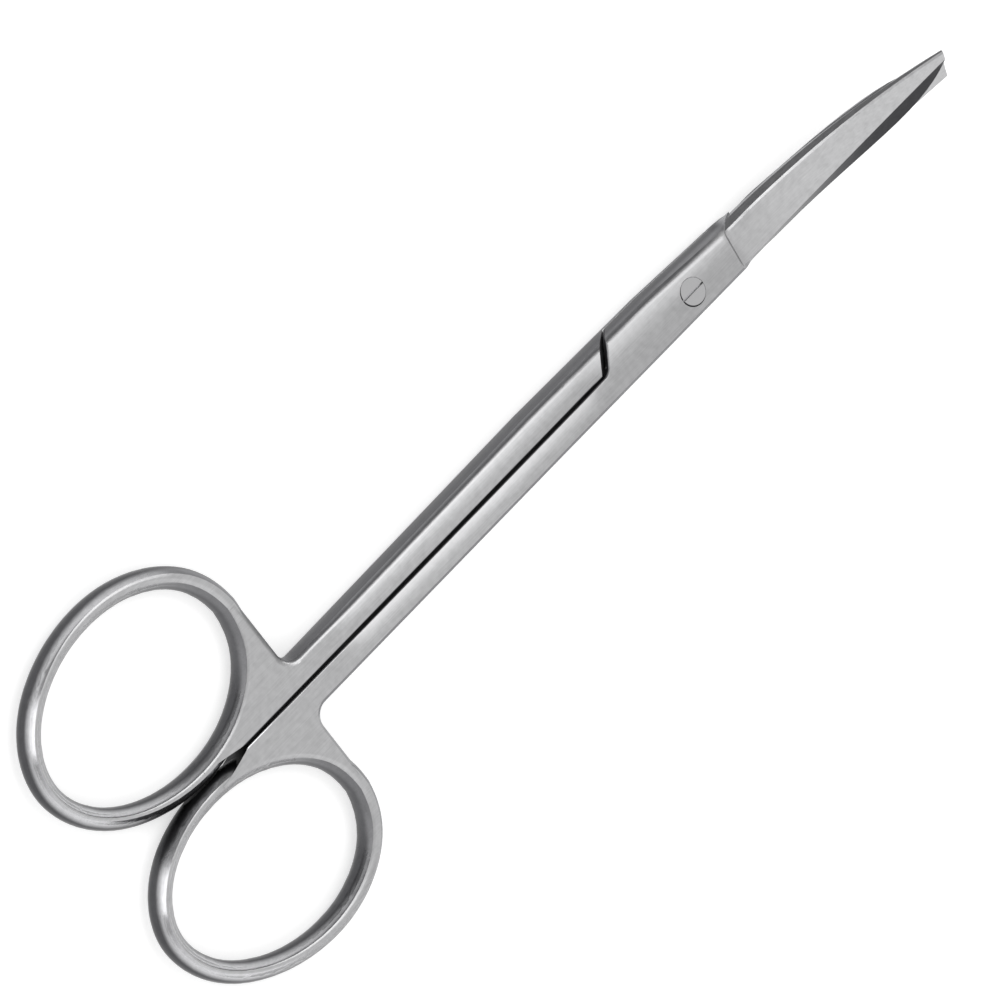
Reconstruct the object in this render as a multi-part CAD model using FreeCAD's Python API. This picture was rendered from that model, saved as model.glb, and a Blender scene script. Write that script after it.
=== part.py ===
import FreeCAD, Part
import math
import os

from FreeCAD import Vector

# Curved dissecting scissors: two halves that cross at a lap joint, held by one screw.
# X runs from the finger rings to the tips, Y across, Z up. The origin is on the pivot
# axis, on the plane that the closed scissors lie on. Lengths are in millimetres.

# Thickness and the fits between the two halves
THICKNESS = 2.9
JOINT_CLEARANCE = 0.06
SHANK_GAP = 0.22
PARTING_Y = 0.42

# Finger rings: where they lie along the scissors, and the size of each opening
RING_X = -68.3
LEFT_RING_LENGTH = 22.85
LEFT_RING_WIDTH = 16.6
LEFT_RING_TILT = 1.5
RIGHT_RING_LENGTH = 21.8
RIGHT_RING_WIDTH = 15.35
RIGHT_RING_TILT = 6.0
RING_WALL = 2.17
RING_INSET = 0.19
RING_EGG = 0.03
RING_RELIEF = 0.03
RING_LAND_NECK = 0.9
RING_LAND_END = 0.16
RING_SECTIONS = 12

# Web between ring and shank
NECK_FILLET = 1.7
NECK_LEAN = 0.65
WEB_REACH = 5.0
WEB_HEEL = 5.5
HEEL_RUN = 0.9

# Stations of the closed bar: the place along X, the half-widths of its flat face on the
# left (+Y) and right (-Y) side, how far each flank swells out at mid-thickness, and the
# rounding or chamfer of its upper and lower edges
NECK_RUN = 15.3
NECK_LEFT = 2.71
NECK_RIGHT = 2.05
NECK_SWELL = 0.45
SHANK_X = -21.0
SHANK_LEFT = 2.95
SHANK_RIGHT = 2.08
SHANK_SWELL = 0.5
JOINT_X = -4.5
JOINT_LEFT = 2.58
JOINT_RIGHT = 2.15
JOINT_SWELL = 0.6
BOX_X = 6.0
BOX_LEFT = 1.8
BOX_RIGHT = 2.2
BOX_SWELL = 0.86
RIGHT_SWELL = 0.2
LEFT_ROUND = 0.4
RIGHT_CHAMFER = 0.25
INNER_ROUND = 0.2

# The slanted shoulders where the halves cross
SHOULDER_X = -12.6
SHOULDER_SLANT = 0.7
SHOULDER_RAMP = 1.65
NOTCH_WIDTH = 0.6
NOTCH_FOOT = 0.25
NOTCH_FILLET = 1.3

# End of the joint's flat, where its face steps down to the blade
STEP_X = 5.85
STEP_SLANT = 0.14
STEP_RAMP = 1.6

# Blades
BLADE_START = 7.0
BLADE_TIP = 33.0
BLADE_CURVE_X = 8.0
BLADE_CURVE_RADIUS = 58.0
SPINE_WIDTH = 2.25
SPINE_FLARE = 0.25
FLARE_RUN = 5.0
SPINE_TIP = 0.75
SPINE_POWER = 2.0
EDGE_WIDTH = 2.55
EDGE_TIP = 0.32
EDGE_POWER = 8.0
BLADE_ROOT = 1.17
BLADE_END = 0.38
BLADE_TAPER = 1.3
SPINE_SLANT = 0.73
SPINE_BREAK = 0.45
SPINE_CHAMFER = 0.13
BEVEL_WIDTH = 0.64
BEVEL_FALL = 1.8
BEVEL_POWER = 2.2
HOLLOW_DEPTH = 0.07
GRIND_STOCK = 0.03
BLADE_SECTIONS = 10
SECTION_SPREAD = 1.6
BLADE_OVERLAP = 1.0
TIP_STOCK = 0.4
CLOSING_LAG = 1.6
TIP_CUT_X = 32.95
TIP_CUT_ANGLE = 18.0

# Pivot screw
SCREW_SHANK = 1.7
SCREW_HEAD = 2.75
HEAD_RIM = 0.25
HEAD_CONE = 0.4
SCREW_FIT = 0.03
SLOT_WIDTH = 0.2
SLOT_DEPTH = 0.35
SCREW_RECESS = 0.0

MID_Z = THICKNESS / 2
NECK_X = RING_X + NECK_RUN
OVERRUN = 8.0
BACK = RING_X - LEFT_RING_LENGTH
FRONT = BLADE_TIP + OVERRUN
LEFT = 1
RIGHT = -1
SHARP = True
TOUCH = 0.001


def line(start, end):
    """Straight edge between two points."""
    return Part.LineSegment(start, end).toShape()


def arc(start, middle, end):
    """Round edge through three points."""
    return Part.Arc(start, middle, end).toShape()


def blend(start, corner, end):
    """Edge that rounds a corner, tangent to both of its sides."""
    curve = Part.BezierCurve()
    curve.setPoles([start, corner, end])
    return curve.toShape()


def prism(edges, direction):
    """Solid made by moving a flat closed outline along a direction."""
    return Part.Face(Part.Wire(edges)).extrude(direction)


def polygon(points, direction):
    """Prism on a polygon."""
    closed = points + [points[0]]
    return Part.Face(Part.makePolygon(closed)).extrude(direction)


def half_turn(shape):
    """The shape turned 180 degrees about the line where the two shanks meet."""
    turned = shape.copy()
    turned.rotate(Vector(0, PARTING_Y, MID_Z), Vector(1, 0, 0), 180)
    return turned


def flank(x, side, width, swell):
    """Edges of one flank, from the flat below to the flat above: corner, bulge, corner."""
    soft = LEFT_ROUND if side == LEFT else RIGHT_CHAMFER
    lean = 2 * math.atan2(swell, MID_Z)
    out = side * (width + soft * math.sin(lean))
    drop = soft * math.cos(lean)
    low_face = Vector(x, side * (width - soft), 0)
    low_flank = Vector(x, out, drop)
    bulge = Vector(x, side * (width + swell), MID_Z)
    high_flank = Vector(x, out, THICKNESS - drop)
    high_face = Vector(x, side * (width - soft), THICKNESS)
    low = line(low_face, low_flank)
    high = line(high_flank, high_face)
    if side == LEFT:
        low = blend(low_face, Vector(x, side * width, 0), low_flank)
        high = blend(high_flank, Vector(x, side * width, THICKNESS), high_face)
    return [low, arc(low_flank, bulge, high_flank), high]


def bar_section(x, left, right, left_swell):
    """Cross-section of the closed bar: flat top and bottom, swelling flanks."""
    bottom = line(Vector(x, RIGHT_CHAMFER - right, 0), Vector(x, left - LEFT_ROUND, 0))
    top = line(Vector(x, left - LEFT_ROUND, THICKNESS), Vector(x, RIGHT_CHAMFER - right, THICKNESS))
    right_side = flank(x, RIGHT, right, RIGHT_SWELL)
    right_side.reverse()
    return Part.Wire([bottom] + flank(x, LEFT, left, left_swell) + [top] + right_side)


def closed_bar():
    """Both shanks and the joint as one bar, from the necks to past the end of the joint's flat."""
    reach = THICKNESS * STEP_RAMP
    fall = (BOX_LEFT - JOINT_LEFT) / (BOX_X - JOINT_X)
    sections = [
        bar_section(NECK_X - WEB_REACH, NECK_LEFT, NECK_RIGHT, NECK_SWELL),
        bar_section(NECK_X, NECK_LEFT, NECK_RIGHT, NECK_SWELL),
        bar_section(SHANK_X, SHANK_LEFT, SHANK_RIGHT, SHANK_SWELL),
        bar_section(JOINT_X, JOINT_LEFT, JOINT_RIGHT, JOINT_SWELL),
        bar_section(BOX_X, BOX_LEFT, BOX_RIGHT, BOX_SWELL),
        bar_section(BOX_X + reach, BOX_LEFT + fall * reach, BOX_RIGHT, BOX_SWELL),
    ]
    return Part.makeLoft(sections, True, SHARP)


def soften(block, side):
    """Round the long edges of a block's flat inner side, above and below."""
    wall = PARTING_Y + side * SHANK_GAP / 2
    chosen = []
    for edge in block.Edges:
        box = edge.BoundBox
        on_wall = abs(box.YMin - wall) < TOUCH and abs(box.YMax - wall) < TOUCH
        outside = min(abs(box.ZMin), abs(box.ZMin - THICKNESS)) < TOUCH
        if on_wall and outside and box.ZLength < TOUCH:
            chosen.append(edge)
    return block.makeFillet(INNER_ROUND, chosen)


def shoulder_block():
    """Space of the left shank's upper level, which ends at the slanted shoulder."""
    wall = PARTING_Y + SHANK_GAP / 2
    lean = SHOULDER_RAMP / MID_Z
    points = [
        Vector(BACK, wall, THICKNESS),
        Vector(SHOULDER_X, wall, THICKNESS),
        Vector(SHOULDER_X + SHOULDER_SLANT * OVERRUN, wall + OVERRUN, THICKNESS),
        Vector(BACK, wall + OVERRUN, THICKNESS),
    ]
    depth = MID_Z + JOINT_CLEARANCE
    return soften(polygon(points, Vector(lean * depth, 0, -depth)), LEFT)


def crossing_block():
    """Space of the left half's lower level: its shank and the part that crosses under."""
    wall = PARTING_Y + SHANK_GAP / 2
    lean = (SHOULDER_RAMP - NOTCH_WIDTH + NOTCH_FOOT) / MID_Z
    angle = math.atan2(1, SHOULDER_SLANT)
    run = NOTCH_FILLET * math.tan(angle / 2)
    along = Vector(math.cos(angle), -math.sin(angle), 0)
    start = Vector(SHOULDER_X + NOTCH_WIDTH, wall, 0)
    before = start - Vector(run, 0, 0)
    after = start + along * run
    bisector = (before + after) * 0.5 - start
    bisector.normalize()
    centre_distance = math.sqrt(run ** 2 + NOTCH_FILLET ** 2)
    middle = start + bisector * (centre_distance - NOTCH_FILLET)
    far = start + Vector(SHOULDER_SLANT * OVERRUN, -OVERRUN, 0)
    edges = [
        line(Vector(BACK, wall, 0), before),
        arc(before, middle, after),
        line(after, far),
        line(far, Vector(FRONT, -OVERRUN, 0)),
        line(Vector(FRONT, -OVERRUN, 0), Vector(FRONT, OVERRUN, 0)),
        line(Vector(FRONT, OVERRUN, 0), Vector(BACK, OVERRUN, 0)),
        line(Vector(BACK, OVERRUN, 0), Vector(BACK, wall, 0)),
    ]
    height = MID_Z - JOINT_CLEARANCE / 2
    return soften(prism(edges, Vector(lean * height, 0, height)), LEFT)


def step_block():
    """Space past the ramp at which the joint's flat steps down to the blade."""
    start = STEP_X - STEP_RAMP * OVERRUN
    slant = STEP_SLANT * OVERRUN
    points = [
        Vector(start - slant, OVERRUN, -OVERRUN),
        Vector(start + slant, -OVERRUN, -OVERRUN),
        Vector(FRONT, -OVERRUN, -OVERRUN),
        Vector(FRONT, OVERRUN, -OVERRUN),
    ]
    height = 2 * OVERRUN
    return polygon(points, Vector(STEP_RAMP * height, 0, height))


def ring_centre(side, length, width):
    """Centre of a finger ring whose outside is ground flat where the shanks meet."""
    half_long = (length + RING_WALL) / 2
    half_wide = (width + RING_WALL) / 2
    tilt = math.radians(LEFT_RING_TILT if side == LEFT else RIGHT_RING_TILT)
    reach = math.hypot(half_long * math.sin(tilt), half_wide * math.cos(tilt))
    offset = SHANK_GAP / 2 + RING_WALL / 2 - RING_INSET + reach
    return Vector(RING_X, PARTING_Y + side * offset, 0)


def ring_point(side, length, width, angle, outset):
    """Point on a finger ring's oval, moved outwards square to it, at mid-thickness."""
    half_long = (length + RING_WALL) / 2
    half_wide = (width + RING_WALL) / 2
    tilt = side * math.radians(LEFT_RING_TILT if side == LEFT else RIGHT_RING_TILT)
    swell = 1 + RING_EGG * math.cos(angle)
    x = half_long * math.cos(angle)
    y = side * half_wide * math.sin(angle) * swell
    dx = -half_long * math.sin(angle)
    dy = side * half_wide * (math.cos(angle) * swell - RING_EGG * math.sin(angle) ** 2)
    size = math.hypot(dx, dy)
    x += side * outset * dy / size
    y -= side * outset * dx / size
    turned = Vector(
        x * math.cos(tilt) - y * math.sin(tilt),
        x * math.sin(tilt) + y * math.cos(tilt),
        MID_Z,
    )
    return ring_centre(side, length, width) + turned


def ring_section(side, length, width, angle):
    """Cross-section of a ring: a narrow flat above and below, and round flanks."""
    land = RING_LAND_END + (RING_LAND_NECK - RING_LAND_END) * (1 + math.cos(angle)) / 2
    half_height = MID_Z - RING_RELIEF
    up = Vector(0, 0, half_height)
    outer = ring_point(side, length, width, angle, land / 2)
    inner = ring_point(side, length, width, angle, -land / 2)
    outermost = ring_point(side, length, width, angle, RING_WALL / 2)
    innermost = ring_point(side, length, width, angle, -RING_WALL / 2)
    return Part.Wire([
        line(inner + up, outer + up),
        arc(outer + up, outermost, outer - up),
        line(outer - up, inner - up),
        arc(inner - up, innermost, inner + up),
    ])


def finger_ring(side, length, width):
    """Closed ring, lofted through its cross-sections and ground flat at the shanks' line."""
    sections = []
    for index in range(RING_SECTIONS):
        angle = 2 * math.pi * index / RING_SECTIONS
        sections.append(ring_section(side, length, width, angle))
    ring = Part.makeLoft(sections, True, False, True)
    wall = PARTING_Y + side * SHANK_GAP / 2
    beyond = Part.makeBox(4 * length, width, 2 * THICKNESS, Vector(BACK - length, wall, -MID_Z))
    if side == LEFT:
        beyond.translate(Vector(0, -width, 0))
    return ring.cut(beyond)


def ring_opening(side, length, width):
    """Column inside the ring's inner crest, which trims the web."""
    points = []
    for index in range(RING_SECTIONS):
        angle = 2 * math.pi * index / RING_SECTIONS
        land = RING_LAND_END + (RING_LAND_NECK - RING_LAND_END) * (1 + math.cos(angle)) / 2
        point = ring_point(side, length, width, angle, -land / 2)
        points.append(Vector(point.x, point.y, -MID_Z))
    oval = Part.BSplineCurve()
    oval.interpolate(points, PeriodicFlag=True)
    return prism([oval.toShape()], Vector(0, 0, 2 * THICKNESS))


def neck_corner(side, length, width):
    """Centre of the round corner between a ring and its shank."""
    face = NECK_LEFT if side == LEFT else NECK_RIGHT
    tilt = math.radians(LEFT_RING_TILT if side == LEFT else RIGHT_RING_TILT)
    half_long = (length + RING_WALL) / 2
    half_wide = (width + RING_WALL) / 2 * (1 + RING_EGG)
    reach = math.hypot(half_long * math.cos(tilt), half_wide * math.sin(tilt))
    front = RING_X + reach + RING_WALL / 2
    return Vector(front - NECK_LEAN + NECK_FILLET, side * (face + NECK_FILLET), 0)


def neck_outline(side, corner, radius, top):
    """Line along the shank, round the corner at a radius, and up to the ring's widest place."""
    slant = radius * math.sqrt(0.5)
    low = corner - Vector(0, side * radius, 0)
    high = corner - Vector(radius, 0, 0)
    return [
        line(low + Vector(WEB_REACH / 2, 0, 0), low),
        arc(low, corner - Vector(slant, side * slant, 0), high),
        line(high, Vector(high.x, top, 0)),
    ]


def neck_flank(side, length, width):
    """The shank's swelling flank, carried round the corner and up to the ring."""
    corner = neck_corner(side, length, width)
    top = ring_centre(side, length, width).y
    path = Part.Wire(neck_outline(side, corner, NECK_FILLET, top))
    start = corner.x + WEB_REACH / 2
    face = NECK_LEFT if side == LEFT else NECK_RIGHT
    swell = NECK_SWELL if side == LEFT else RIGHT_SWELL
    soft = LEFT_ROUND if side == LEFT else RIGHT_CHAMFER
    inner = side * (face - 2 * soft)
    outer = side * (face - soft)
    profile = Part.Wire(flank(start, side, face, swell) + [
        line(Vector(start, outer, THICKNESS), Vector(start, inner, THICKNESS)),
        line(Vector(start, inner, THICKNESS), Vector(start, inner, 0)),
        line(Vector(start, inner, 0), Vector(start, outer, 0)),
    ])
    return path.makePipeShell([profile], True, False)


def web(side, length, width):
    """Flat web that joins the ring to its shank, with a round inside corner."""
    wall = PARTING_Y + side * SHANK_GAP / 2
    soft = LEFT_ROUND if side == LEFT else RIGHT_CHAMFER
    centre = ring_centre(side, length, width)
    corner = neck_corner(side, length, width)
    border = neck_outline(side, corner, NECK_FILLET + soft, centre.y)
    root = border[0].firstVertex(True).Point
    top = border[2].lastVertex(True).Point
    inside = Vector(root.x, wall, 0)
    heel = Vector(centre.x + WEB_HEEL, wall, 0)
    crest = ring_point(side, length, width, -math.pi / 2, 0)
    crest.z = 0
    tilt = side * math.radians(LEFT_RING_TILT if side == LEFT else RIGHT_RING_TILT)
    along = Vector(math.cos(tilt), math.sin(tilt), 0) * HEEL_RUN
    heel_run = blend(crest, crest + along, heel)
    edges = [heel_run, line(heel, inside), line(inside, root)] + border + [
        line(top, Vector(centre.x, centre.y, 0)),
        line(Vector(centre.x, centre.y, 0), crest),
    ]
    plate = soften(prism(edges, Vector(0, 0, THICKNESS)), side)
    plate = plate.fuse(neck_flank(side, length, width))
    return plate.cut(ring_opening(side, length, width))


def parting_height(x, curl):
    """Height of the face where the blades meet: level, then an upward or downward arc."""
    run = max(x - BLADE_CURVE_X, 0)
    rise = BLADE_CURVE_RADIUS - math.sqrt(BLADE_CURVE_RADIUS ** 2 - run ** 2)
    return MID_Z - JOINT_CLEARANCE / 2 + curl * rise


def blade_space(curl):
    """Space on the blade's own side of the face where the blades meet."""
    begin = STEP_X - 2 * BLADE_OVERLAP
    end = BLADE_TIP + 2 * TIP_STOCK
    half = (BLADE_CURVE_X + end) / 2
    level = parting_height(begin, curl)
    edges = [
        line(Vector(begin, -OVERRUN, level), Vector(BLADE_CURVE_X, -OVERRUN, level)),
        arc(
            Vector(BLADE_CURVE_X, -OVERRUN, level),
            Vector(half, -OVERRUN, parting_height(half, curl)),
            Vector(end, -OVERRUN, parting_height(end, curl)),
        ),
        line(Vector(end, -OVERRUN, parting_height(end, curl)), Vector(end, -OVERRUN, -OVERRUN)),
        line(Vector(end, -OVERRUN, -OVERRUN), Vector(begin, -OVERRUN, -OVERRUN)),
        line(Vector(begin, -OVERRUN, -OVERRUN), Vector(begin, -OVERRUN, level)),
    ]
    return prism(edges, Vector(0, 2 * OVERRUN, 0))


def blade_section(x, curl):
    """Cross-section of a blade: hollow inner face, edge bevel, outer face, chamfer, spine."""
    u = max(x - BLADE_START, 0) / (BLADE_TIP - BLADE_START)
    edge = EDGE_WIDTH - (EDGE_WIDTH - EDGE_TIP) * u ** EDGE_POWER
    flare = SPINE_FLARE * min(max(1 - (x - BLADE_START) / FLARE_RUN, 0), 1) ** 2
    spine = SPINE_WIDTH + flare - (SPINE_WIDTH - SPINE_TIP) * u ** SPINE_POWER
    thick = BLADE_ROOT - (BLADE_ROOT - BLADE_END) * u ** BLADE_TAPER
    level = parting_height(x, curl)
    top = level + GRIND_STOCK
    cutting = Vector(x, edge, top)
    bevel = Vector(x, EDGE_WIDTH - BEVEL_WIDTH - BEVEL_FALL * u ** BEVEL_POWER, level - thick)
    corner = Vector(x, -spine * SPINE_SLANT, level - thick)
    back = Vector(x, -spine, level - thick * SPINE_BREAK)
    slope = back - corner
    slope.normalize()
    face = corner + Vector(0, SPINE_CHAMFER, 0)
    shoulder = corner + slope * SPINE_CHAMFER
    rear = Vector(x, -spine, top)
    middle = Vector(x, (edge - spine) / 2, level - HOLLOW_DEPTH * thick / BLADE_ROOT)
    return Part.Wire([
        arc(rear, middle, cutting),
        line(cutting, bevel),
        line(bevel, face),
        line(face, shoulder),
        line(shoulder, back),
        line(back, rear),
    ])


def blade(curl, lag):
    """A blade whose inner face looks up, bent to rise or fall towards the tip."""
    start = STEP_X - BLADE_OVERLAP
    end = BLADE_TIP + TIP_STOCK
    sections = []
    for index in range(BLADE_SECTIONS):
        share = index / (BLADE_SECTIONS - 1)
        x = start + (end - start) * (1 - (1 - share) ** SECTION_SPREAD)
        sections.append(blade_section(x, curl))
    shape = Part.makeLoft(sections, True, False)
    shape.rotate(Vector(0, 0, 0), Vector(0, 0, 1), -lag)
    return shape.common(blade_space(curl))


def tip_block():
    """Space past the oblique end to which both tips are ground together."""
    block = Part.makeBox(FRONT, 2 * OVERRUN, 2 * FRONT, Vector(0, -OVERRUN, -FRONT))
    block.rotate(Vector(0, 0, 0), Vector(0, 0, 1), -TIP_CUT_ANGLE)
    block.translate(Vector(TIP_CUT_X, 0, 0))
    return block


def left_half():
    """Half that passes under at the joint; its shank and ring lie on the left."""
    space = shoulder_block().fuse(crossing_block())
    body = closed_bar().common(space)
    body = body.cut(step_block())
    body = body.fuse(blade(1, CLOSING_LAG).cut(tip_block()))
    body = body.fuse(web(LEFT, LEFT_RING_LENGTH, LEFT_RING_WIDTH))
    body = body.fuse(finger_ring(LEFT, LEFT_RING_LENGTH, LEFT_RING_WIDTH))
    bore = Part.makeCylinder(SCREW_SHANK / 2, THICKNESS)
    return body.cut(bore)


def right_half():
    """Half that passes over at the joint and takes the screw's head."""
    space = half_turn(shoulder_block().fuse(crossing_block()))
    body = closed_bar().common(space)
    step = step_block()
    step.rotate(Vector(0, 0, MID_Z), Vector(1, 0, 0), 180)
    body = body.cut(step)
    steel = blade(-1, 0)
    steel.rotate(Vector(0, 0, MID_Z), Vector(1, 0, 0), 180)
    body = body.fuse(steel.cut(tip_block()))
    body = body.fuse(web(RIGHT, RIGHT_RING_LENGTH, RIGHT_RING_WIDTH))
    body = body.fuse(finger_ring(RIGHT, RIGHT_RING_LENGTH, RIGHT_RING_WIDTH))
    return body.cut(screw_body(SCREW_FIT))


def screw_body(clearance):
    """Countersunk head and shank, as a solid of revolution grown by a clearance."""
    head = SCREW_HEAD / 2 + clearance
    shank = SCREW_SHANK / 2 + clearance
    rim = THICKNESS - HEAD_RIM - clearance
    neck = rim - HEAD_CONE
    points = [
        Vector(0, 0, SCREW_RECESS),
        Vector(shank, 0, SCREW_RECESS),
        Vector(shank, 0, neck),
        Vector(head, 0, rim),
        Vector(head, 0, THICKNESS),
        Vector(0, 0, THICKNESS),
    ]
    face = Part.Face(Part.makePolygon(points + [points[0]]))
    return face.revolve(Vector(0, 0, 0), Vector(0, 0, 1), 360)


def pivot_screw():
    """Screw ground flush with the joint's flat, its slot along the scissors."""
    slot = Part.makeBox(
        SCREW_HEAD * 2, SLOT_WIDTH, SLOT_DEPTH * 2,
        Vector(-SCREW_HEAD, -SLOT_WIDTH / 2, THICKNESS - SLOT_DEPTH),
    )
    return screw_body(0).cut(slot)


def write(name, shape):
    """Write one piece as a STEP file."""
    solids = shape.Solids
    print(name, "solids", len(solids), "valid", shape.isValid(), "volume", round(shape.Volume, 2))
    shape.exportStep(os.path.join("parts", name + ".step"))


os.makedirs("parts", exist_ok=True)
write("left_half", left_half())
write("right_half", right_half())
write("pivot_screw", pivot_screw())
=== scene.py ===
import logging
import math
from dataclasses import dataclass
from enum import Enum

import bpy
from bpy.types import Material, Node, NodeSocket, NodeTree, Object
from mathutils import Matrix, Vector

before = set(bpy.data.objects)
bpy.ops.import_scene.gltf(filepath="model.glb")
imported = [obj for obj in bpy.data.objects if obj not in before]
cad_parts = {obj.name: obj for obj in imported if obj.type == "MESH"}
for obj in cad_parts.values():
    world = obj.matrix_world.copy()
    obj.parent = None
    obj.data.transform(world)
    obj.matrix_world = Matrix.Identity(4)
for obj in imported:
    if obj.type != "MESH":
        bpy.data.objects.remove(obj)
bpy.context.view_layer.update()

log = logging.getLogger("scissors")

MM = 0.001
WHITE = "ffffff"

PHOTO_WIDTH = 1000
SENSOR_MM = 36.0
VIEW_START_M = 0.01
VIEW_END_M = 20.0

# Noise runs about between these two values.
NOISE_LOW = 0.3
NOISE_HIGH = 0.7

# A square lamp with this many watts to the square metre shines as a wall of level 1 does.
LAMP_WATTS = 4.0

# Settings of the calculating nodes.
TIMES = {"operation": "MULTIPLY"}
OVER = {"operation": "DIVIDE"}
PLUS = {"operation": "ADD"}
MINUS = {"operation": "SUBTRACT"}
UNSIGNED = {"operation": "ABSOLUTE"}
LARGER = {"operation": "MAXIMUM"}
BELOW = {"operation": "LESS_THAN"}
LENGTH = {"operation": "LENGTH"}
NUMBERS = {"data_type": "FLOAT"}
COLOURS = {"data_type": "RGBA"}

# Sockets of the Mix node, which has one set for numbers and one for colours.
FACTOR = 0
NUMBER_A, NUMBER_B, NUMBER_OUT = 2, 3, 0
COLOUR_A, COLOUR_B, COLOUR_OUT = 6, 7, 2


class Zone(Enum):
    """Areas of a scissors half with their own colours, some of which paint shade and
    highlight.
    """

    FLANK = "flank"
    RING = "ring"
    SPINE = "spine"
    FLAT = "flat"
    JOINT = "joint"
    BLADE = "blade"
    BEVEL = "bevel"
    PAINTED_SHADE_WALL = "painted_shade_wall"


def linear(colour: str) -> tuple[float, float, float, float]:
    """Turn an sRGB hex colour into linear light.

    Args:
        colour: Six hex digits, such as "c8c8ca".

    Returns:
        Red, green, blue and alpha for a shader socket.
    """
    channels = []
    for start in (0, 2, 4):
        share = int(colour[start:start + 2], 16) / 255
        low = share / 12.92
        high = ((share + 0.055) / 1.055) ** 2.4
        channels.append(low if share <= 0.04045 else high)
    return (channels[0], channels[1], channels[2], 1.0)


def add(
    tree: NodeTree, kind: str, settings: dict | None = None, links: dict | None = None,
) -> Node:
    """Add a node with its settings and links.

    Args:
        tree: The node tree.
        kind: The node's type, without its "ShaderNode" prefix.
        settings: Attributes of the node, or default values of its inputs by name or number.
        links: Output sockets to join to its inputs, by name or number.

    Returns:
        The new node.
    """
    node = tree.nodes.new("ShaderNode" + kind)
    for key, value in (settings or {}).items():
        if isinstance(key, str) and hasattr(node, key):
            setattr(node, key, value)
        else:
            node.inputs[key].default_value = value
    for key, socket in (links or {}).items():
        tree.links.new(socket, node.inputs[key])
    return node


@dataclass(frozen=True)
class Step:
    """Smooth step of a measure between two of its values, up from 0 to 1 or down."""

    low: float
    high: float
    falls: bool = False

    def settings(self, unit: float = 1.0) -> dict:
        """Settings of a Map Range node that makes the step.

        Args:
            unit: What the measure's unit is in the node's own, such as MM.

        Returns:
            The settings by name.
        """
        return {
            "interpolation_type": "SMOOTHSTEP",
            "From Min": self.low * unit,
            "From Max": self.high * unit,
            "To Min": float(self.falls),
            "To Max": float(not self.falls),
        }


@dataclass(frozen=True)
class Spread:
    """Straight scaling of noise to the range between two values."""

    low: float
    high: float

    def settings(self) -> dict:
        """Settings of a Map Range node that makes the scaling.

        Returns:
            The settings by name.
        """
        return {
            "From Min": NOISE_LOW,
            "From Max": NOISE_HIGH,
            "To Min": self.low,
            "To Max": self.high,
        }


@dataclass(frozen=True)
class Steel:
    """Martensitic stainless steel with one surface treatment.

    The colours carry painted light. A darker one, painted shade, goes on the sides that point
    away from up, and a lighter one, a painted highlight, on the crest that points up; where
    the two are the same, nothing is painted. The turn says at which shares of the upright
    direction side turns into crest.
    """

    side: str
    crest: str
    roughness: float
    turn: Step = Step(0.0, 1.0)


@dataclass(frozen=True)
class Face:
    """Faint crown of a flat face: its highest line, and its slope at a distance from it."""

    middle_mm: float
    reach_mm: float
    slope: float


@dataclass(frozen=True)
class Crest:
    """Mid-line of a finger ring's crest: an oval turned a little in its plane.

    The far side is the half of the oval that looks away from the other ring, as a step of
    the share of the oval's half-width.
    """

    centre_mm: tuple[float, float]
    half_mm: tuple[float, float]
    turn_deg: float
    far_side: Step

    def settings(self) -> dict:
        """Settings of a Mapping node that turns the oval into a circle of radius 1.

        Returns:
            The settings by name.
        """
        return {
            "vector_type": "TEXTURE",
            "Location": (self.centre_mm[0] * MM, self.centre_mm[1] * MM, 0.0),
            "Rotation": (0.0, 0.0, math.radians(self.turn_deg)),
            "Scale": (self.half_mm[0] * MM, self.half_mm[1] * MM, 1.0),
        }


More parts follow.
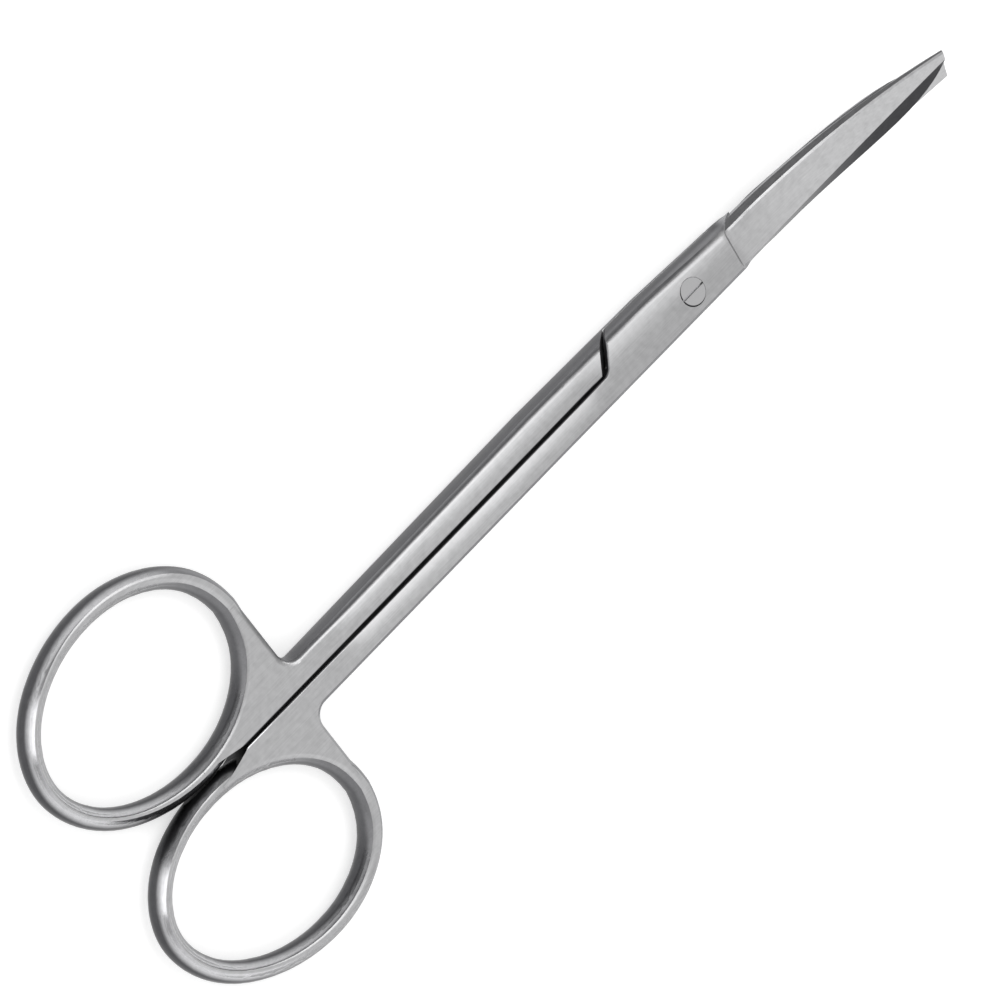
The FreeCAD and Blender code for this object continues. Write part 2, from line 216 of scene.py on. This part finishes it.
@dataclass(frozen=True)
class ForgedHalfSteel:
    """Forged stainless scissors half: faces ground flat, flanks and rings belt-polished.

    The belt leaves fine lines along the faces, so that they shine softly; the rings are
    buffed round, so that lights run over them in long streaks. The flanks, ring sides, spine
    walls, edge bevels and the walls of the gap and the nook get darker colours than the faces,
    which are painted shade; the ring crests get a lighter colour, a painted highlight.

    Lengths are in millimetres, along the scissors from the pivot to the tips (x) or across
    them towards the left ring (y). Directions are shares of the surface's normal.
    """

    # Darker side colours paint shade on the flanks, ring sides, spine walls, edge bevels and
    # the walls of the gap and nook; the ring's light crest colour is a painted highlight.
    flank: Steel = Steel("606062", "848486", 0.42, Step(0.30, 0.60))
    ring: Steel = Steel("4c4c4e", "cacacc", 0.25, Step(0.46, 0.90))
    spine: Steel = Steel("98989a", "a2a2a4", 0.34, Step(0.82, 0.93))
    flat: Steel = Steel("bababb", "bababb", 0.34)
    joint: Steel = Steel("b0b0b1", "b0b0b1", 0.36)
    blade: Steel = Steel("c3c3c4", "c3c3c4", 0.36)
    bevel: Steel = Steel("404042", "48484a", 0.30, Step(0.2, 0.9))
    painted_shade_wall: Steel = Steel("3c3c3e", "4a4a4c", 0.40, Step(0.2, 0.9))

    ring_front: Step = Step(-61.0, -57.5, falls=True)
    blade_root: Step = Step(6.2, 7.6)
    joint_back: Step = Step(-30.0, -13.0)
    joint_front: Step = Step(6.0, 6.8, falls=True)
    face_across: Step = Step(0.30, 0.48, falls=True)
    face_upright: Step = Step(0.72, 0.86)
    web_upright: Step = Step(0.985, 0.998)
    bevel_facing: Step = Step(-0.14, -0.06, falls=True)

    parting_y_mm: float = 0.42
    gap_reach: Step = Step(0.22, 0.34, falls=True)
    gap_front: Step = Step(-14.0, -13.0, falls=True)
    gap_facing: Step = Step(-0.25, -0.08, falls=True)
    nook_reach: Step = Step(1.3, 2.3, falls=True)
    nook_front: Step = Step(-62.0, -61.0, falls=True)
    nook_upright: Step = Step(0.55, 0.85, falls=True)

    left_face: Face = Face(0.7, 2.0, 0.26)
    right_face: Face = Face(-1.9, 2.2, 0.28)
    joint_face: Face = Face(-0.6, 3.0, 0.26)
    parting_half_mm: float = 0.1
    crown_joint: Step = Step(-16.0, -11.0)
    crown_front: Step = Step(5.5, 7.0, falls=True)
    crown_back: Step = Step(-53.0, -46.0)

    left_crest: Crest = Crest((-68.3, 10.81), (12.51, 9.39), 1.5, Step(0.0, 0.3))
    right_crest: Crest = Crest(
        (-68.3, -9.39), (11.98, 8.76), -6.0, Step(-0.3, 0.0, falls=True),
    )
    crest_egg: float = 0.03
    crest_round: Step = Step(0.0, 0.9)
    crest_fall_mm: float = 0.27
    crest_web: Step = Step(-0.15, 0.1, falls=True)
    crest_lead: float = 0.8
    crest_front: Step = Step(-55.0, -52.0, falls=True)

    # A real belt's lines are a few hundredths of a millimetre wide. These are a few times as
    # coarse, because finer ones wouldn't show in the render.
    line_width_mm: float = 0.12
    line_length_mm: float = 3.5
    line_detail: float = 2.0
    mottle_mm: float = 0.7
    mottle_detail: float = 3.0
    mottle_share: float = 0.5
    tone: Spread = Spread(0.86, 1.10)
    rougher: Spread = Spread(0.92, 1.08)
    relief_mm: float = 0.004
    relief_strength: float = 0.12

    def material(self) -> Material:
        """Build the material.

        Returns:
            The Blender material.
        """
        made = bpy.data.materials.new("ground_stainless_steel")
        made.use_nodes = True
        tree = made.node_tree
        tree.nodes.clear()
        place = add(tree, "TexCoord")
        point = add(tree, "SeparateXYZ", links={0: place.outputs["Object"]})
        normal = add(tree, "SeparateXYZ", links={0: place.outputs["Normal"]})
        upright = add(tree, "Math", UNSIGNED, {0: normal.outputs["Z"]}).outputs[0]
        masks = self.masks(tree, point, normal, upright)
        grain = self.grain(tree, place)
        colour, roughness = self.blend(tree, masks, upright)
        tone = add(tree, "MapRange", self.tone.settings(), {"Value": grain}).outputs[0]
        tinted = add(tree, "VectorMath", {"operation": "SCALE"}, {0: colour, "Scale": tone})
        rougher = add(tree, "MapRange", self.rougher.settings(), {"Value": grain}).outputs[0]
        final_rough = add(tree, "Math", TIMES, {0: roughness, 1: rougher}).outputs[0]
        crown = add(
            tree, "Bump", {"Strength": 1.0, "Distance": MM},
            {"Height": self.crown(tree, place, point)},
        )
        relief = add(
            tree, "Bump", {"Strength": self.relief_strength, "Distance": self.relief_mm * MM},
            {"Height": grain, "Normal": crown.outputs["Normal"]},
        )
        shader = add(
            tree, "BsdfPrincipled", {"Metallic": 1.0},
            {
                "Base Color": tinted.outputs[0],
                "Roughness": final_rough,
                "Normal": relief.outputs["Normal"],
            },
        )
        add(tree, "OutputMaterial", links={"Surface": shader.outputs["BSDF"]})
        return made

    def masks(
        self, tree: NodeTree, point: Node, normal: Node, upright: NodeSocket,
    ) -> dict[Zone, NodeSocket]:
        """Tell apart the areas with their own colours, some of them painted shade, by where
        they lie and how they face.

        Args:
            tree: The node tree.
            point: Node with the point's coordinates.
            normal: Node with the surface's direction.
            upright: How far that direction points up or down, from 0 to 1.

        Returns:
            A mask for each zone that lies over the flank, the later ones on top.
        """
        x, y = point.outputs["X"], point.outputs["Y"]
        sideways = normal.outputs["Y"]
        # On the rings and the blade's spine the side colours are painted shade; the ring's
        # crest colour is a painted highlight.
        on_ring, on_blade, joint_back, joint_front, gap_front, nook_front = (
            add(tree, "MapRange", step.settings(MM), {"Value": x}).outputs[0]
            for step in (
                self.ring_front, self.blade_root, self.joint_back,
                self.joint_front, self.gap_front, self.nook_front,
            )
        )
        face_up, web_up, nook_up = (
            add(tree, "MapRange", step.settings(), {"Value": upright}).outputs[0]
            for step in (self.face_upright, self.web_upright, self.nook_upright)
        )

        # A flat face looks up and not across; on a ring only the web is as level as that.
        across = add(tree, "Math", UNSIGNED, {0: sideways}).outputs[0]
        straight = add(
            tree, "MapRange", self.face_across.settings(), {"Value": across},
        ).outputs[0]
        face = add(tree, "Math", TIMES, {0: straight, 1: face_up}).outputs[0]
        level = add(
            tree, "Mix", NUMBERS, {FACTOR: on_ring, NUMBER_A: face, NUMBER_B: web_up},
        ).outputs[NUMBER_OUT]
        ends = add(tree, "Math", TIMES, {0: joint_back, 1: joint_front}).outputs[0]

        # The ground edge looks up on one half's blade and down on the other's, so that its
        # direction across times its direction up is negative on both. Its dark colour is
        # painted shade.
        facing = add(
            tree, "Math", TIMES, {0: sideways, 1: normal.outputs["Z"]},
        ).outputs[0]
        edge = add(
            tree, "MapRange", self.bevel_facing.settings(), {"Value": facing},
        ).outputs[0]

        # The walls of the gap and the nook between the rings get a dark colour, painted shade.
        offset = add(
            tree, "Math", MINUS | {1: self.parting_y_mm * MM}, {0: y},
        ).outputs[0]
        distance = add(tree, "Math", UNSIGNED, {0: offset}).outputs[0]
        by_gap, by_nook = (
            add(tree, "MapRange", step.settings(MM), {"Value": distance}).outputs[0]
            for step in (self.gap_reach, self.nook_reach)
        )
        turned = add(
            tree, "MapRange", self.gap_facing.settings(), {"Value": sideways},
        ).outputs[0]
        between = add(tree, "Math", TIMES, {0: by_gap, 1: gap_front}).outputs[0]
        gap = add(tree, "Math", TIMES, {0: between, 1: turned}).outputs[0]
        behind = add(tree, "Math", TIMES, {0: by_nook, 1: nook_front}).outputs[0]
        nook = add(tree, "Math", TIMES, {0: behind, 1: nook_up}).outputs[0]
        return {
            Zone.RING: on_ring,
            Zone.SPINE: on_blade,
            Zone.FLAT: level,
            Zone.JOINT: add(tree, "Math", TIMES, {0: ends, 1: level}).outputs[0],
            Zone.BLADE: add(tree, "Math", TIMES, {0: on_blade, 1: level}).outputs[0],
            Zone.BEVEL: add(tree, "Math", TIMES, {0: on_blade, 1: edge}).outputs[0],
            Zone.PAINTED_SHADE_WALL: add(tree, "Math", LARGER, {0: gap, 1: nook}).outputs[0],
        }

    def crest(self, tree: NodeTree, place: Node, crest: Crest) -> NodeSocket:
        """Height of the round that buffing leaves on one finger ring's crest.

        The height falls in a smooth step of the distance from the crest's mid-line. That
        distance is how far the point's radius differs from 1 on the oval made a circle, times
        the oval's half-size there. Where the web joins the ring, its outer side stays flat.

        Args:
            tree: The node tree.
            place: Texture coordinates.
            crest: The crest's mid-line.

        Returns:
            The height's socket, in millimetres and never above 0.
        """
        oval = add(tree, "Mapping", crest.settings(), {"Vector": place.outputs["Object"]})
        point = add(tree, "SeparateXYZ", links={0: oval.outputs["Vector"]})
        along, aside = point.outputs["X"], point.outputs["Y"]
        lean = add(tree, "Math", TIMES | {1: self.crest_egg}, {0: along}).outputs[0]
        swell = add(tree, "Math", PLUS | {1: 1.0}, {0: lean}).outputs[0]
        even = add(tree, "Math", OVER, {0: aside, 1: swell}).outputs[0]
        circle = add(tree, "CombineXYZ", links={"X": along, "Y": even})
        radius = add(tree, "VectorMath", LENGTH, {0: circle.outputs["Vector"]})
        beyond = add(
            tree, "Math", MINUS | {1: 1.0}, {0: radius.outputs["Value"]},
        ).outputs[0]
        half_long, half_wide = crest.half_mm
        square = add(tree, "Math", TIMES, {0: along, 1: along}).outputs[0]
        longer = add(
            tree, "Math", TIMES | {1: half_long - half_wide}, {0: square},
        ).outputs[0]
        size = add(tree, "Math", PLUS | {1: half_wide}, {0: longer}).outputs[0]
        away = add(tree, "Math", TIMES, {0: beyond, 1: size}).outputs[0]
        distance = add(tree, "Math", UNSIGNED, {0: away}).outputs[0]
        fall = add(
            tree, "MapRange", self.crest_round.settings(), {"Value": distance},
        ).outputs[0]
        far_side = add(
            tree, "MapRange", crest.far_side.settings(), {"Value": aside},
        ).outputs[0]
        lead = add(tree, "Math", TIMES | {1: self.crest_lead}, {0: far_side}).outputs[0]
        from_web = add(tree, "Math", MINUS, {0: along, 1: lead}).outputs[0]
        clear = add(
            tree, "MapRange", self.crest_web.settings(), {"Value": from_web},
        ).outputs[0]
        inside = add(tree, "Math", BELOW | {1: 0.0}, {0: away}).outputs[0]
        free = add(tree, "Math", LARGER, {0: clear, 1: inside}).outputs[0]
        kept = add(tree, "Math", TIMES, {0: fall, 1: free}).outputs[0]
        return add(tree, "Math", TIMES | {1: -self.crest_fall_mm}, {0: kept}).outputs[0]

    def crown(self, tree: NodeTree, place: Node, point: Node) -> NodeSocket:
        """Height of the faint crown that the belt leaves on flat faces and ring crests.

        On a face it falls as the square of the distance from the face's middle line, which is
        one line on each shank and one on the joint, down to a given slope at a given distance.

        Args:
            tree: The node tree.
            place: Texture coordinates.
            point: Node with the point's coordinates.

        Returns:
            The height's socket, in millimetres.
        """
        x, y = point.outputs["X"], point.outputs["Y"]
        heights = []
        for face in (self.left_face, self.right_face, self.joint_face):
            away = add(
                tree, "Math", MINUS | {1: face.middle_mm * MM}, {0: y},
            ).outputs[0]
            share = add(
                tree, "Math", TIMES | {1: 1 / (face.reach_mm * MM)}, {0: away},
            ).outputs[0]
            square = add(tree, "Math", TIMES, {0: share, 1: share}).outputs[0]
            fall = -face.slope * face.reach_mm / 2
            heights.append(add(tree, "Math", TIMES | {1: fall}, {0: square}).outputs[0])
        left, right, joint = heights
        parting = Step(
            self.parting_y_mm - self.parting_half_mm, self.parting_y_mm + self.parting_half_mm,
        )
        on_left = add(tree, "MapRange", parting.settings(MM), {"Value": y}).outputs[0]
        in_joint, ahead, behind, on_rings = (
            add(tree, "MapRange", step.settings(MM), {"Value": x}).outputs[0]
            for step in (self.crown_joint, self.crown_front, self.crown_back, self.crest_front)
        )
        shanks = add(
            tree, "Mix", NUMBERS, {FACTOR: on_left, NUMBER_A: right, NUMBER_B: left},
        ).outputs[NUMBER_OUT]
        body = add(
            tree, "Mix", NUMBERS, {FACTOR: in_joint, NUMBER_A: shanks, NUMBER_B: joint},
        ).outputs[NUMBER_OUT]
        middle = add(tree, "Math", TIMES, {0: ahead, 1: behind}).outputs[0]
        faces = add(tree, "Math", TIMES, {0: body, 1: middle}).outputs[0]
        crests = add(
            tree, "Mix", NUMBERS,
            {
                FACTOR: on_left,
                NUMBER_A: self.crest(tree, place, self.right_crest),
                NUMBER_B: self.crest(tree, place, self.left_crest),
            },
        ).outputs[NUMBER_OUT]
        rings = add(tree, "Math", TIMES, {0: crests, 1: on_rings}).outputs[0]
        return add(tree, "Math", PLUS, {0: faces, 1: rings}).outputs[0]

    def grain(self, tree: NodeTree, place: Node) -> NodeSocket:
        """Fine belt lines along the scissors over a soft mottling.

        Args:
            tree: The node tree.
            place: Texture coordinates.

        Returns:
            A socket near 0.5, from about 0.3 to 0.7.
        """
        along = 1 / (self.line_length_mm * MM)
        across = 1 / (self.line_width_mm * MM)
        stretch = add(
            tree, "Mapping", {"Scale": (along, across, across)},
            {"Vector": place.outputs["Object"]},
        )
        lines = add(
            tree, "TexNoise", {"Scale": 1.0, "Detail": self.line_detail},
            {"Vector": stretch.outputs["Vector"]},
        )
        cloud = add(
            tree, "TexNoise",
            {"Scale": 1 / (self.mottle_mm * MM), "Detail": self.mottle_detail},
            {"Vector": place.outputs["Object"]},
        )
        both = add(
            tree, "Mix", NUMBERS | {FACTOR: self.mottle_share},
            {NUMBER_A: lines.outputs[0], NUMBER_B: cloud.outputs[0]},
        )
        return both.outputs[NUMBER_OUT]

    def shade(self, tree: NodeTree, steel: Steel, upright: NodeSocket) -> NodeSocket:
        """Colour of one zone, from its sides to its crest: where the two colours differ,
        painted shade on the sides and a painted highlight on the crest.

        Args:
            tree: The node tree.
            steel: The zone's steel.
            upright: How far the surface points up or down, from 0 to 1.

        Returns:
            The colour's socket.
        """
        share = add(
            tree, "MapRange", steel.turn.settings(), {"Value": upright},
        ).outputs[0]
        ends = {COLOUR_A: linear(steel.side), COLOUR_B: linear(steel.crest)}
        return add(tree, "Mix", COLOURS | ends, {FACTOR: share}).outputs[COLOUR_OUT]

    def blend(
        self, tree: NodeTree, masks: dict[Zone, NodeSocket], upright: NodeSocket,
    ) -> tuple[NodeSocket, NodeSocket]:
        """Lay the zones' colours and roughnesses over the flank's.

        Args:
            tree: The node tree.
            masks: The zones' masks, the later ones on top.
            upright: How far the surface points up or down, from 0 to 1.

        Returns:
            Sockets of the colour and the roughness.
        """
        steels = {
            Zone.FLANK: self.flank,
            Zone.RING: self.ring,
            Zone.SPINE: self.spine,
            Zone.FLAT: self.flat,
            Zone.JOINT: self.joint,
            Zone.BLADE: self.blade,
            Zone.BEVEL: self.bevel,
            Zone.PAINTED_SHADE_WALL: self.painted_shade_wall,
        }
        base = steels[Zone.FLANK]
        colour = self.shade(tree, base, upright)
        roughness = None
        for zone, mask in masks.items():
            steel = steels[zone]
            shade = self.shade(tree, steel, upright)
            colour = add(
                tree, "Mix", COLOURS, {FACTOR: mask, COLOUR_A: colour, COLOUR_B: shade},
            ).outputs[COLOUR_OUT]
            links = {FACTOR: mask}
            if roughness is not None:
                links[NUMBER_A] = roughness
            ends = {NUMBER_A: base.roughness, NUMBER_B: steel.roughness}
            roughness = add(tree, "Mix", NUMBERS | ends, links).outputs[NUMBER_OUT]
        return colour, roughness


@dataclass(frozen=True)
class TurnedScrewSteel:
    """Turned stainless screw, ground flush with the joint.

    The head is a satin disc that sits a little off the middle of its seat. A dark crescent on
    the side of the rings is painted shadow, for the gap between the head and its seat.
    """

    colour: str = "b8b8b9"
    roughness: float = 0.36
    roughness_swing: float = 0.03
    mottle_mm: float = 0.25
    mottle_detail: float = 3.0
    # Painted shadow: this colour darkens a crescent at the head's edge, for the gap to its
    # seat.
    painted_gap_shadow_colour: str = "343436"
    painted_gap_shadow: Step = Step(1.34, 1.39)
    disc_centre_mm: tuple[float, float] = (0.10, 0.06)

    def material(self) -> Material:
        """Build the material.

        Returns:
            The Blender material.
        """
        made = bpy.data.materials.new("turned_screw_steel")
        made.use_nodes = True
        tree = made.node_tree
        tree.nodes.clear()
        place = add(tree, "TexCoord")
        cloud = add(
            tree, "TexNoise",
            {"Scale": 1 / (self.mottle_mm * MM), "Detail": self.mottle_detail},
            {"Vector": place.outputs["Object"]},
        )
        swing = Spread(
            self.roughness - self.roughness_swing, self.roughness + self.roughness_swing,
        )
        rough = add(tree, "MapRange", swing.settings(), {"Value": cloud.outputs[0]})
        centre = (self.disc_centre_mm[0] * MM, self.disc_centre_mm[1] * MM, 0.0)
        offset = add(
            tree, "VectorMath", MINUS | {1: centre}, {0: place.outputs["Object"]},
        )
        flat = add(tree, "VectorMath", TIMES | {1: (1.0, 1.0, 0.0)}, {0: offset.outputs[0]})
        reach = add(tree, "VectorMath", LENGTH, {0: flat.outputs[0]}).outputs["Value"]
        # Painted shadow: mask of the dark crescent at the head's edge.
        painted_gap_shadow = add(tree, "MapRange", self.painted_gap_shadow.settings(MM), {"Value": reach}).outputs[0]
        ends = {COLOUR_A: linear(self.colour), COLOUR_B: linear(self.painted_gap_shadow_colour)}
        tone = add(tree, "Mix", COLOURS | ends, {FACTOR: painted_gap_shadow})
        shader = add(
            tree, "BsdfPrincipled", {"Metallic": 1.0},
            {"Base Color": tone.outputs[COLOUR_OUT], "Roughness": rough.outputs["Result"]},
        )
        add(tree, "OutputMaterial", links={"Surface": shader.outputs["BSDF"]})
        return made


@dataclass(frozen=True)
class WhitePaper:
    """Matt white paper of a photographer's table.

    It takes soft shadows, and its glow makes it show as plain white to the eye and in metal.
    """

    colour: str = "e6e6e6"
    glow: float = 0.5

    def material(self) -> Material:
        """Build the material.

        Returns:
            The Blender material.
        """
        made = bpy.data.materials.new("white_paper")
        made.use_nodes = True
        tree = made.node_tree
        tree.nodes.clear()
        paper = add(tree, "BsdfDiffuse", {"Color": linear(self.colour)})
        path = add(tree, "LightPath").outputs
        seen = add(
            tree, "Math", LARGER, {0: path["Is Camera Ray"], 1: path["Is Glossy Ray"]},
        ).outputs[0]
        seen = add(
            tree, "Math", LARGER, {0: seen, 1: path["Is Transmission Ray"]},
        ).outputs[0]
        strength = add(tree, "Math", TIMES | {1: self.glow}, {0: seen}).outputs[0]
        glow = add(tree, "Emission", {"Color": linear(WHITE)}, {"Strength": strength})
        both = add(tree, "AddShader", links={0: paper.outputs[0], 1: glow.outputs[0]})
        add(tree, "OutputMaterial", links={"Surface": both.outputs[0]})
        return made


@dataclass(frozen=True)
class Piece:
    """One physical piece of the scissors, which keeps the shape that the CAD gives it."""

    node: str
    slot: str

    def dress(self, material: Material) -> Object:
        """Give the piece its finish.

        Args:
            material: The finish.

        Returns:
            The piece's object.
        """
        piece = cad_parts[self.node]
        piece.data.materials.clear()
        piece.data.materials.append(material)
        return piece


@dataclass(frozen=True)
class Scissors:
    """The scissors: two forged halves, and the screw that they turn on."""

    left: Piece = Piece("left_half", "satin_steel")
    right: Piece = Piece("right_half", "satin_steel")
    screw: Piece = Piece("pivot_screw", "screw_steel")
    forged: ForgedHalfSteel = ForgedHalfSteel()
    turned: TurnedScrewSteel = TurnedScrewSteel()

    def dress(self) -> list[Object]:
        """Give each piece its finish.

        Returns:
            The pieces' objects.
        """
        steel = self.forged.material()
        return [
            self.left.dress(steel),
            self.right.dress(steel),
            self.screw.dress(self.turned.material()),
        ]


@dataclass(frozen=True)
class Lamp:
    """A square soft box that points at the scissors from a direction, sizes in metres."""

    name: str
    direction: tuple[float, float, float]
    size: float
    level: float
    distance: float = 1.5

    def hang(self) -> None:
        """Hang the lamp, with its power worked out from its size and its brightness."""
        light = bpy.data.lights.new(self.name, "AREA")
        light.shape = "SQUARE"
        light.size = self.size
        light.energy = LAMP_WATTS * self.level * self.size ** 2
        thing = bpy.data.objects.new(self.name, light)
        bpy.context.scene.collection.objects.link(thing)
        towards = Vector(self.direction).normalized()
        thing.location = towards * self.distance
        thing.rotation_euler = towards.to_track_quat("Z", "Y").to_euler()


@dataclass(frozen=True)
class Studio:
    """Pale floor, soft lights and the camera of the photograph.

    The camera's right and up say how the scissors lie in the picture. The pivot's place in
    the picture and the picture's scale say where they lie and how large they are.
    """

    paper: WhitePaper = WhitePaper()
    floor_half_mm: float = 1500.0

    camera_distance_mm: float = 1500.0
    mm_per_pixel: float = 0.0927
    pivot_pixel: tuple[float, float] = (693.0, 292.0)
    pivot_mm: tuple[float, float, float] = (0.0, 0.0, 2.9)
    right: tuple[float, float, float] = (0.6453, -0.5763, 0.5011)
    up: tuple[float, float, float] = (0.6663, 0.7461, 0.0)

    base_level: float = 0.28
    ceiling: Step = Step(0.5, 0.88)
    ceiling_level: float = 0.4
    open_side: tuple[float, float, float] = (-0.30, -0.95, 0.0)
    opening: Step = Step(-0.2, 0.8)
    opening_level: float = 0.65
    lamps: tuple[Lamp, ...] = (
        Lamp("edge_box", (0.374, 0.27, 0.887), 0.75, 1.6),
        Lamp("crest_box", (0.84, 0.18, 0.51), 0.36, 3.6),
        Lamp("window_box", (-0.70, 0.62, 0.34), 1.05, 1.35),
    )

    def floor(self) -> Object:
        """Lay a pale floor that shows white and keeps the scissors' shadow.

        Returns:
            The floor's object.
        """
        half = self.floor_half_mm * MM
        corners = [(-half, -half, 0), (half, -half, 0), (half, half, 0), (-half, half, 0)]
        mesh = bpy.data.meshes.new("floor")
        mesh.from_pydata(corners, [], [(0, 1, 2, 3)])
        mesh.materials.append(self.paper.material())
        thing = bpy.data.objects.new("floor", mesh)
        bpy.context.scene.collection.objects.link(thing)
        return thing

    def world(self) -> None:
        """Fill the room with soft light: bright above and on one side, dim on the other."""
        made = bpy.data.worlds.new("room")
        made.use_nodes = True
        tree = made.node_tree
        tree.nodes.clear()
        way = add(tree, "TexCoord").outputs["Generated"]
        upwards = add(tree, "SeparateXYZ", links={0: way}).outputs["Z"]
        sideways = add(
            tree, "VectorMath", {"operation": "DOT_PRODUCT", 1: self.open_side}, {0: way},
        ).outputs["Value"]
        parts = []
        for measure, step, share in (
            (upwards, self.ceiling, self.ceiling_level),
            (sideways, self.opening, self.opening_level),
        ):
            reach = add(tree, "MapRange", step.settings(), {"Value": measure}).outputs[0]
            parts.append(add(tree, "Math", TIMES | {1: share}, {0: reach}).outputs[0])
        both = add(tree, "Math", PLUS, {0: parts[0], 1: parts[1]}).outputs[0]
        level = add(tree, "Math", PLUS | {1: self.base_level}, {0: both}).outputs[0]
        back = add(tree, "Background", {"Color": linear(WHITE)}, {"Strength": level})
        add(tree, "OutputWorld", links={"Surface": back.outputs[0]})
        bpy.context.scene.world = made

    def camera(self) -> None:
        """Set up the camera at the photograph's viewing angle, from far away.

        It aims at the point of the pivot's plane, square to the view, that lies in the middle
        of the picture, and its lens gives the picture's scale at its distance.
        """
        right = Vector(self.right).normalized()
        up = Vector(self.up).normalized()
        back = right.cross(up)
        scale = self.mm_per_pixel
        aim = (
            Vector(self.pivot_mm)
            - right * (self.pivot_pixel[0] - PHOTO_WIDTH / 2) * scale
            - up * (PHOTO_WIDTH / 2 - self.pivot_pixel[1]) * scale
        )
        data = bpy.data.cameras.new("camera")
        data.sensor_width = SENSOR_MM
        data.lens = SENSOR_MM * self.camera_distance_mm / (PHOTO_WIDTH * scale)
        data.clip_start = VIEW_START_M
        data.clip_end = VIEW_END_M
        thing = bpy.data.objects.new("camera", data)
        bpy.context.scene.collection.objects.link(thing)
        turn = Matrix((right, up, back)).transposed().to_4x4()
        place = Matrix.Translation((aim + back * self.camera_distance_mm) * MM)
        thing.matrix_world = place @ turn
        bpy.context.scene.camera = thing

    def build(self) -> None:
        """Set up floor, light, view and camera."""
        self.floor()
        self.world()
        for lamp in self.lamps:
            lamp.hang()
        self.camera()
        bpy.context.scene.view_settings.view_transform = "Standard"


def main() -> None:
    """Dress the scissors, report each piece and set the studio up."""
    logging.basicConfig(level=logging.INFO)
    for piece in Scissors().dress():
        log.info("%s dressed in %s", piece.name, piece.data.materials[0].name)
    Studio().build()


if __name__ == "__main__":
    main()
